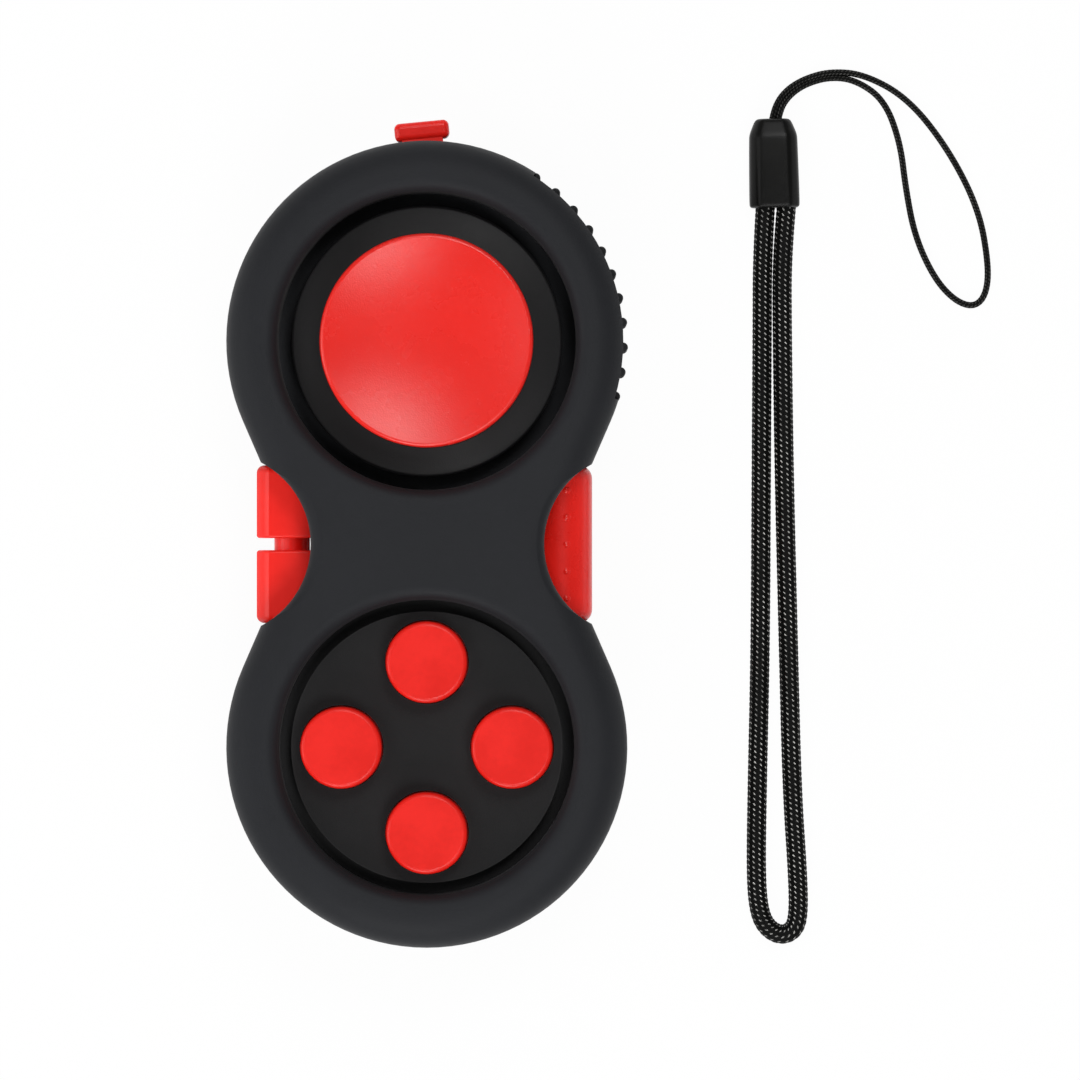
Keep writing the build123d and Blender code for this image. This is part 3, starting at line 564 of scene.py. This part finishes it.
def braided_tube(name, line, diameter, columns, pitch, lean, sides, rings_per_stitch, relief):
    """A closed tube along a line, with a pillow for each stitch and a UV map that counts them."""
    centre, at, _ = walked(line, pitch / rings_per_stitch)
    forward = np.gradient(centre, axis=0)
    forward /= np.linalg.norm(forward, axis=1)[:, None]
    side = np.cross(forward, (0.0, 0.0, 1.0))
    side /= np.linalg.norm(side, axis=1)[:, None]
    up = np.cross(side, forward)
    share = np.arange(sides) / sides
    column = share * columns
    across = column % 1 - 0.5
    odd = np.floor(column) % 2
    row = at[:, None] / pitch + 0.5 * odd[None] - lean * across[None]
    swell = np.abs(np.cos(np.pi * (row % 1 - 0.5)))
    pillow = np.cos(np.pi * across)[None] * (0.4 + 0.6 * swell)
    radius = diameter / 2 + relief * (pillow - 0.3)
    angle = 2 * np.pi * (share + 0.5 / columns)
    ring = (
        np.cos(angle)[None, :, None] * side[:, None] + np.sin(angle)[None, :, None] * up[:, None]
    )
    points = (centre[:, None] + radius[..., None] * ring).reshape(-1, 3)
    rings = len(centre)
    first = np.arange(rings - 1)[:, None] * sides + np.arange(sides)[None]
    turned = np.arange(rings - 1)[:, None] * sides + (np.arange(sides) + 1)[None] % sides
    quads = np.stack([first, turned, turned + sides, first + sides], axis=-1).reshape(-1, 4)
    start_cap = list(range(sides))[::-1]
    end_cap = [(rings - 1) * sides + i for i in range(sides)]
    mesh = bpy.data.meshes.new(name)
    mesh.from_pydata(points.tolist(), [], quads.tolist() + [start_cap, end_cap])
    u = np.stack([column, column + columns / sides] * 2, axis=0)[[0, 1, 1, 0]]
    v = np.stack([at[:-1], at[:-1], at[1:], at[1:]], axis=1) / pitch
    uv = np.zeros((len(mesh.loops), 2))
    grid = np.zeros((rings - 1, sides, 4, 2))
    grid[..., 0] = u.T[None]
    grid[..., 1] = v[:, None]
    uv[: (rings - 1) * sides * 4] = grid.reshape(-1, 2)
    layer = mesh.uv_layers.new(name="braid")
    layer.data.foreach_set("uv", uv.astype(np.float32).ravel())
    mesh.polygons.foreach_set("use_smooth", [True] * len(quads) + [False, False])
    obj = bpy.data.objects.new(name, mesh)
    bpy.context.scene.collection.objects.link(obj)
    return obj


class FIDGETPAD_OT_stage(bpy.types.Operator):
    """Camera straight above the pad, pale floor, room light and soft boxes"""

    bl_idname = "fidget_pad.stage"
    bl_label = "Stage"
    bl_options = {"REGISTER", "UNDO"}

    def execute(self, context):
        studio = context.scene.fidget_pad_studio
        context.scene.view_settings.view_transform = "Standard"
        lens = bpy.data.cameras.new("camera")
        lens.sensor_width = 36.0
        lens.lens = lens.sensor_width * studio.view_height / studio.view_width
        lens.clip_start = 0.05
        lens.clip_end = 20.0
        camera = bpy.data.objects.new("camera", lens)
        centre_x, centre_y, centre_z = VIEW_CENTRE
        camera.location = (centre_x, centre_y, centre_z + studio.view_height)
        context.scene.collection.objects.link(camera)
        context.scene.camera = camera
        self.make_floor(studio)
        self.make_room(context, studio)
        self.make_lamps(context, studio)
        return {"FINISHED"}

    def make_floor(self, studio):
        deselect_all()
        bpy.ops.mesh.primitive_plane_add(size=studio.floor_size, location=(0, 0, -FLOOR_DROP))
        floor = bpy.context.object
        floor.name = "floor"
        settle(floor)
        material = bpy.data.materials.new("pale_floor")
        material.use_nodes = True
        material.node_tree.nodes.clear()
        w = Wiring(material.node_tree)
        path = w.add("LightPath").outputs
        seen = w.math("MAXIMUM", path["Is Camera Ray"], path["Is Glossy Ray"])
        seen = w.math("MAXIMUM", seen, path["Is Transmission Ray"])
        matt = w.add("BsdfDiffuse", {"Color": (0.9, 0.9, 0.9, 1.0)}).outputs[0]
        glow = w.add("Emission", {"Color": (1.0, 1.0, 1.0, 1.0)}).outputs[0]
        share = w.math("MULTIPLY", seen, FLOOR_GLOW)
        surface = w.add("MixShader", {0: share, 1: matt, 2: glow}).outputs[0]
        clear = w.add("BsdfTransparent").outputs[0]
        behind = w.add("NewGeometry").outputs["Backfacing"]
        whole = w.add("MixShader", {0: behind, 1: surface, 2: clear}).outputs[0]
        w.add("OutputMaterial", {0: whole})
        floor.data.materials.append(material)

    def make_room(self, context, studio):
        """White where the camera sees it, and a room that is darker overhead for everything else."""
        world = bpy.data.worlds.new("room")
        world.use_nodes = True
        world.node_tree.nodes.clear()
        w = Wiring(world.node_tree)
        height = w.add("SeparateXYZ", {0: w.add("TexCoord").outputs["Generated"]}).outputs[2]
        wall = w.remap(height, 0.1, 0.95, 1.5 * studio.sky, 0.75 * studio.sky)
        room = w.add("Background", {0: (1.0, 1.0, 1.0, 1.0), 1: wall}).outputs[0]
        white = w.add("Background", {0: (1.0, 1.0, 1.0, 1.0), 1: 1.0}).outputs[0]
        seen = w.add("LightPath").outputs["Is Camera Ray"]
        both = w.add("MixShader", {0: seen, 1: room, 2: white}).outputs[0]
        w.add("OutputWorld", {0: both})
        context.scene.world = world

    def make_lamps(self, context, studio):
        """Soft boxes by compass bearing from +X, angle from straight up, side and share of light."""
        boxes = {
            "box_back": (70.0, 25.0, 0.3, 0.9),
            "box_back_low": (86.0, 44.0, 0.4, 0.45),
            "box_front": (-62.0, 25.0, 0.3, 0.9),
            "box_left": (180.0, 36.0, 0.6, 0.55),
            "box_left_low": (186.0, 66.0, 0.5, 0.8),
            "box_front_low": (-98.0, 58.0, 0.5, 1.7),
        }
        target = Vector(LAMP_TARGET)
        for name, (bearing, tilt, side, share) in boxes.items():
            lamp = bpy.data.lights.new(name, "AREA")
            lamp.shape = "SQUARE"
            lamp.size = side
            lamp.energy = studio.lamps * share * LAMP_WATTS
            box = bpy.data.objects.new(name, lamp)
            turn, lean = math.radians(bearing), math.radians(tilt)
            away = Vector((math.cos(turn) * math.sin(lean), math.sin(turn) * math.sin(lean),
                           math.cos(lean)))
            box.location = target + away * LAMP_DISTANCE
            box.rotation_mode = "QUATERNION"
            box.rotation_quaternion = away.to_track_quat("Z", "Y")
            context.scene.collection.objects.link(box)


class FIDGETPAD_OT_sleeve(bpy.types.Operator):
    """Moulded sleeve that joins the thick strap and the thin cord"""

    bl_idname = "fidget_pad.sleeve"
    bl_label = "Strap sleeve"
    bl_options = {"REGISTER", "UNDO"}

    def execute(self, context):
        strap = context.scene.fidget_pad_strap
        finish = context.scene.fidget_pad_finish
        low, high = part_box("strap_sleeve")
        middle = (low + high) / 2
        width, thickness, taper = strap.sleeve_width, strap.sleeve_thickness, strap.sleeve_taper
        shoulder = high.y + SLEEVE_OVERHANG - taper
        deselect_all()
        bpy.ops.mesh.primitive_cylinder_add(
            vertices=SLEEVE_SIDES, radius=width / 2 / math.cos(math.pi / SLEEVE_SIDES),
            depth=shoulder - low.y,
            location=(middle.x, (low.y + shoulder) / 2, middle.z),
            rotation=(math.pi / 2, math.pi / SLEEVE_SIDES, 0))
        sleeve = bpy.context.object
        sleeve.name = "moulded_sleeve"
        settle(sleeve)
        bpy.ops.object.mode_set(mode="EDIT")
        centre = (middle.x, middle.y, middle.z)
        bpy.ops.mesh.select_all(action="SELECT")
        bpy.ops.transform.resize(value=(1, 1, thickness / width), center_override=centre)
        select_faces(sleeve, lambda place, normal: abs(normal.z) > 0.9)
        bpy.ops.transform.resize(value=(SLEEVE_FACE_STRETCH, 1, 1), center_override=centre)
        select_faces(sleeve, lambda place, normal: normal.y > 0.9)
        bpy.ops.transform.resize(value=SLEEVE_SHOULDER, center_override=centre)
        bpy.ops.mesh.extrude_region_move(TRANSFORM_OT_translate={"value": (0, taper, 0)})
        bpy.ops.transform.resize(value=SLEEVE_TAPERED_END, center_override=centre)
        bpy.ops.mesh.select_all(action="SELECT")
        bpy.ops.transform.rotate(
            value=SLEEVE_LEAN, orient_axis="Z", center_override=centre)
        bpy.ops.mesh.bevel(offset=SLEEVE_ROUNDING, segments=3, affect="EDGES")
        self.open_end(
            sleeve, side=1, lip=0.55 * MM, depth=1.2 * MM, mouth=(0.85, 1, 0.6), centre=centre)
        self.open_end(
            sleeve, side=-1, lip=0.3 * MM, depth=1.8 * MM, mouth=(0.99, 1, 0.72), centre=centre)
        bpy.ops.mesh.select_all(action="SELECT")
        bpy.ops.mesh.remove_doubles(threshold=0.00001)
        bpy.ops.mesh.normals_make_consistent(inside=False)
        bpy.ops.object.mode_set(mode="OBJECT")
        bevel = sleeve.modifiers.new("lips", "BEVEL")
        bevel.width = 0.0001
        bevel.segments = 2
        bevel.limit_method = "ANGLE"
        bevel.angle_limit = math.radians(50)
        smooth = sleeve.modifiers.new("soft form", "SUBSURF")
        smooth.levels = smooth.render_levels = 2
        apply_modifiers(sleeve)
        bpy.ops.object.shade_smooth()
        sleeve.data.materials.append(moulded(
            "sleeve_black", finish.sleeve, roughness=0.33, grain=0.00018, grain_depth=0.000006,
            specular=0.17, wear_highlight_amount=0.2, edge_radius=0.0007, mottle=0.006))
        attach(sleeve, "wrist_strap")
        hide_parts("strap_sleeve")
        return {"FINISHED"}

    def open_end(self, sleeve, side, lip, depth, mouth, centre):
        """Insets one end face and sinks its mouth."""
        ends = [v.co.y * side for v in bmesh.from_edit_mesh(sleeve.data).verts]
        top = max(ends)
        select_faces(sleeve, lambda place, normal: place.y * side > top - 0.00001
                     and normal.y * side > 0.9)
        bpy.ops.mesh.inset(thickness=lip)
        bpy.ops.transform.resize(value=mouth, center_override=centre)
        bpy.ops.mesh.extrude_region_move(TRANSFORM_OT_translate={"value": (0, -side * depth, 0)})


class FIDGETPAD_OT_strap_loop(bpy.types.Operator):
    """Thick braided loop of the wrist strap"""

    bl_idname = "fidget_pad.strap_loop"
    bl_label = "Braided strap"
    bl_options = {"REGISTER", "UNDO"}

    def execute(self, context):
        strap = context.scene.fidget_pad_strap
        finish = context.scene.fidget_pad_finish
        line = lay_route("strap route", STRAP_ROUTE)
        loop = braided_tube(
            "braided_strap", line, strap.strap_diameter, strap.strap_columns, strap.strap_pitch,
            strap.lean, sides=50, rings_per_stitch=6, relief=0.00015)
        loop.data.materials.append(braided_yarn(
            "strap_braid", finish.yarn, finish.highlight_fleck, fleck_highlight_share=0.85, lean=strap.lean,
            width=0.17, length=0.21, fuzz=0.15))
        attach(loop, "wrist_strap")
        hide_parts("strap_loop")
        return {"FINISHED"}


class FIDGETPAD_OT_thin_cord(bpy.types.Operator):
    """Thin cord loop that ties the strap to the pad"""

    bl_idname = "fidget_pad.thin_cord"
    bl_label = "Thin cord"
    bl_options = {"REGISTER", "UNDO"}

    def execute(self, context):
        strap = context.scene.fidget_pad_strap
        finish = context.scene.fidget_pad_finish
        line = lay_route("cord route", CORD_ROUTE)
        loop = braided_tube(
            "thin_cord", line, strap.cord_diameter, strap.cord_columns, strap.cord_pitch,
            strap.lean, sides=24, rings_per_stitch=5, relief=0.00003)
        loop.data.materials.append(braided_yarn(
            "cord_braid", scaled(finish.yarn, 1.3), finish.highlight_fleck, fleck_highlight_share=0.1,
            lean=strap.lean, width=0.3, length=0.3, fuzz=0.3))
        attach(loop, "wrist_strap")
        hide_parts("cord_loop")
        return {"FINISHED"}


class FIDGETPAD_OT_housing(bpy.types.Operator):
    """Soft black shells, their bumped grip strip and the strap bar"""

    bl_idname = "fidget_pad.housing"
    bl_label = "Housing"
    bl_options = {"REGISTER", "UNDO"}

    def execute(self, context):
        finish = context.scene.fidget_pad_finish
        shell = moulded(
            "shell_black", finish.shell, roughness=0.56, grain=finish.grain_size,
            grain_depth=0.00002, specular=0.14, wear_highlight_amount=0.4 * finish.edge_wear_highlight_share,
            edge_radius=finish.edge_radius, mottle=0.014, sheen_weight=0.03,
            sheen_roughness=0.45)
        paint(shell, "front_shell", "rear_shell")
        paint(moulded(
            "grip_rubber", finish.grip, roughness=0.62, grain=0.0003, grain_depth=0.00002,
            specular=0.2, wear_highlight_amount=finish.edge_wear_highlight_share, edge_radius=0.0003, mottle=0.006),
            "grip_strip")
        paint(drawn_metal("plated_steel", finish.steel, roughness=0.28),
              "housing_screws", "strap_bar")
        return {"FINISHED"}


class FIDGETPAD_OT_thumb_stick(bpy.types.Operator):
    """Red thumb disc on its black skirt, with the gimbal under it"""

    bl_idname = "fidget_pad.thumb_stick"
    bl_label = "Thumb stick"
    bl_options = {"REGISTER", "UNDO"}

    def execute(self, context):
        finish = context.scene.fidget_pad_finish
        # The cap's red carries a few painted glints.
        paint(moulded(
            "cap_red", finish.cap, roughness=0.27, grain=finish.grain_size,
            grain_depth=0.00002, specular=0.48, wear_highlight_amount=finish.edge_wear_highlight_share, edge_radius=0.0004,
            unevenness=0.03, painted_glint=0.02), "stick_cap")
        paint(moulded(
            "well_black", finish.well, roughness=0.42, grain=0.00018, grain_depth=0.000015,
            specular=0.16, wear_highlight_amount=0.1, edge_radius=0.0004), "stick_skirt", "button_plate")
        paint(moulded(
            "acetal_white", finish.acetal, roughness=0.4, grain=0.0003, grain_depth=0.00001,
            specular=0.5), "stick_stem", "gimbal_ring", "gimbal_frame")
        paint(moulded(
            "silicone_grey", finish.silicone, roughness=0.45, grain=0.0002,
            grain_depth=0.000012, specular=0.4, subsurface_weight=0.3,
            subsurface_scale=0.002), "stick_diaphragm")
        paint(drawn_metal("polished_steel", scaled(finish.steel, 0.8), roughness=0.2),
              "stem_pin", "gimbal_pins", "stick_screw", "frame_screws")
        return {"FINISHED"}


class FIDGETPAD_OT_buttons(bpy.types.Operator):
    """Four red push buttons with their domes and base"""

    bl_idname = "fidget_pad.buttons"
    bl_label = "Buttons"
    bl_options = {"REGISTER", "UNDO"}

    def execute(self, context):
        finish = context.scene.fidget_pad_finish
        sides = ("top", "left", "right", "bottom")
        paint(moulded(
            "button_red", finish.cap, roughness=0.34, grain=finish.grain_size,
            grain_depth=0.000012, specular=0.3, wear_highlight_amount=finish.edge_wear_highlight_share, edge_radius=0.0005,
            mottle=0.005),
            *(f"button_{side}" for side in sides))
        paint(bpy.data.materials["silicone_grey"], *(f"button_dome_{side}" for side in sides))
        paint(bpy.data.materials["acetal_white"], "button_base")
        paint(bpy.data.materials["polished_steel"], "base_screws")
        return {"FINISHED"}


class FIDGETPAD_OT_side_controls(bpy.types.Operator):
    """Four-sided roller, studded roller and toggle with their pins and springs"""

    bl_idname = "fidget_pad.side_controls"
    bl_label = "Rollers and toggle"
    bl_options = {"REGISTER", "UNDO"}

    def execute(self, context):
        finish = context.scene.fidget_pad_finish
        # This red is a lighter copy of the cap's red, painted light for the rollers' darker windows.
        paint(moulded(
            "painted_light_control_red", finish.control_with_painted_light, roughness=0.3, grain=0.0003, grain_depth=0.000006,
            # Twice the lightening of the edges here, painted as the bright highlight line along the
            # rollers' flat faces.
            specular=0.28, wear_highlight_amount=2 * finish.edge_wear_highlight_share, edge_radius=0.0003, mottle=0.012,
            coat_weight=0.08, coat_roughness=0.2), "left_roller", "right_roller", "toggle_lever")
        paint(bpy.data.materials["polished_steel"],
              "left_axle", "right_axle", "toggle_pin", "roller_spring", "toggle_spring")
        return {"FINISHED"}


class FIDGETPAD_OT_rear_dial(bpy.types.Operator):
    """Spinning dial on the back"""

    bl_idname = "fidget_pad.rear_dial"
    bl_label = "Rear dial"
    bl_options = {"REGISTER", "UNDO"}

    def execute(self, context):
        finish = context.scene.fidget_pad_finish
        paint(moulded(
            "dial_red", finish.cap, roughness=0.34, grain=finish.grain_size,
            grain_depth=0.000014, specular=0.3, wear_highlight_amount=finish.edge_wear_highlight_share, edge_radius=0.0004),
            "rear_dial")
        paint(bpy.data.materials["plated_steel"], "dial_washer", "dial_screw")
        return {"FINISHED"}


class FIDGETPAD_PT_panel(bpy.types.Panel):
    """Sizes, colours and building steps of the fidget pad"""

    bl_idname = "FIDGETPAD_PT_panel"
    bl_label = "Fidget Pad"
    bl_space_type = "VIEW_3D"
    bl_region_type = "UI"
    bl_category = "Fidget Pad"

    def draw(self, context):
        for step in STEPS:
            self.layout.operator(step.bl_idname, text=step.bl_label)
        for group in ("fidget_pad_studio", "fidget_pad_strap", "fidget_pad_finish"):
            values = getattr(context.scene, group)
            box = self.layout.box()
            for name in values.__annotations__:
                box.prop(values, name)


STEPS = (
    FIDGETPAD_OT_stage,
    FIDGETPAD_OT_sleeve,
    FIDGETPAD_OT_strap_loop,
    FIDGETPAD_OT_thin_cord,
    FIDGETPAD_OT_housing,
    FIDGETPAD_OT_thumb_stick,
    FIDGETPAD_OT_buttons,
    FIDGETPAD_OT_side_controls,
    FIDGETPAD_OT_rear_dial,
)
SETTINGS = {
    "fidget_pad_finish": FidgetPadFinish,
    "fidget_pad_strap": FidgetPadStrap,
    "fidget_pad_studio": FidgetPadStudio,
}


def register():
    for group in (*SETTINGS.values(), *STEPS, FIDGETPAD_PT_panel):
        bpy.utils.register_class(group)
    for name, group in SETTINGS.items():
        setattr(bpy.types.Scene, name, PointerProperty(type=group))


def unregister():
    for name in SETTINGS:
        delattr(bpy.types.Scene, name)
    for group in (FIDGETPAD_PT_panel, *reversed(STEPS), *SETTINGS.values()):
        bpy.utils.unregister_class(group)


def main():
    register()
    for step in STEPS:
        bpy_name = step.bl_idname.split(".")[1]
        getattr(bpy.ops.fidget_pad, bpy_name)()


if __name__ == "__main__":
    main()
